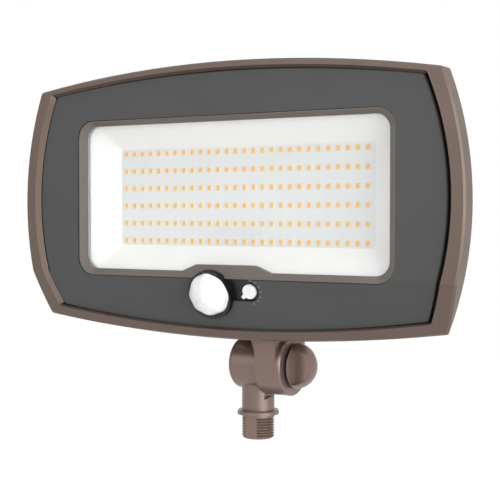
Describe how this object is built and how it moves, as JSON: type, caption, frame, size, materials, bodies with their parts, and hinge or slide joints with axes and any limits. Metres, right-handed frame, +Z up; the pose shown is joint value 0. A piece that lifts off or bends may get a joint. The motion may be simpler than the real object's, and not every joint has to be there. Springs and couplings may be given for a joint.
{
  "type": "motion sensor security light",
  "caption": "Wide bowed flood light with a dark bent front plate, LED window, domed motion sensor, small selector knob and a knuckle mount with a threaded stud.",
  "frame": {"origin": "on the stud's axis, at the seating face of the stud's flange", "axes": "+Z up along the stud's axis, the light shines towards -Y, +X along the knuckle's pivot towards the clamp knob"},
  "size_m": [0.32, 0.0757, 0.2406],
  "materials": {
    "bronze_paint": "satin bronze powder coat over die-cast aluminium",
    "arm_metal": "satin bronze powder coat over die-cast aluminium",
    "dark_plate": "satin dark grey paint over aluminium sheet",
    "clear_lens": "clear tempered",
    "white_plastic": "satin white",
    "white_board": "white solder mask",
    "led_phosphor": "yellow-orange phosphor",
    "bare_aluminium": "plain",
    "plated_steel": "zinc plated",
    "seal_rubber": "matt black",
    "black_plastic": "matt black",
    "dome_plastic": "milky white",
    "circuit_board": "green",
    "wire": "insulated wire"
  },
  "bodies": {
    "base": {"lower_arm": "arm_metal", "knuckle_seal": "seal_rubber", "clamp_bolt": "plated_steel", "clamp_washer": "plated_steel"},
    "clamp": {"clamp_knob": "arm_metal"},
    "head": {"upper_arm": "arm_metal", "arm_gasket": "seal_rubber", "arm_screws": "plated_steel", "housing": "bronze_paint", "face_plate": "dark_plate", "window_frame": "bronze_paint", "frame_screws": "plated_steel", "lens_cover": "clear_lens", "lens_gasket": "seal_rubber", "reflector": "white_plastic", "led_board": "white_board", "heat_tray": "bare_aluminium", "board_screws": "plated_steel", "driver": "black_plastic", "driver_screws": "plated_steel", "led_leads": "wire", "sensor_lead": "wire", "breather_vent": "black_plastic", "sensor_housing": "black_plastic", "sensor_dome": "dome_plastic", "pir_element": "plated_steel", "sensor_board": "circuit_board", "sensor_screws": "plated_steel", "selector_switch": "black_plastic", "selector_seal": "seal_rubber", "led_row_1": "led_phosphor", "led_row_2": "led_phosphor", "led_row_3": "led_phosphor", "led_row_4": "led_phosphor", "led_row_5": "led_phosphor", "led_row_6": "led_phosphor"},
    "selector": {"selector_knob": "white_plastic"}
  },
  "joints": [
    {"name": "head_tilt", "type": "hinge", "parent": "base", "child": "head", "pos_m": [0, 0, 0.033], "axis": [1, 0, 0], "range_deg": [-90, 90]},
    {"name": "clamp_turn", "type": "hinge", "parent": "base", "child": "clamp", "pos_m": [0.034, 0, 0.033], "axis": [1, 0, 0], "range_deg": [-180, 0]},
    {"name": "selector_turn", "type": "hinge", "parent": "head", "child": "selector", "pos_m": [0.0172, -0.03903, 0.08246], "axis": [0, -0.9511, -0.309], "range_deg": [-250, 0]}
  ]
}
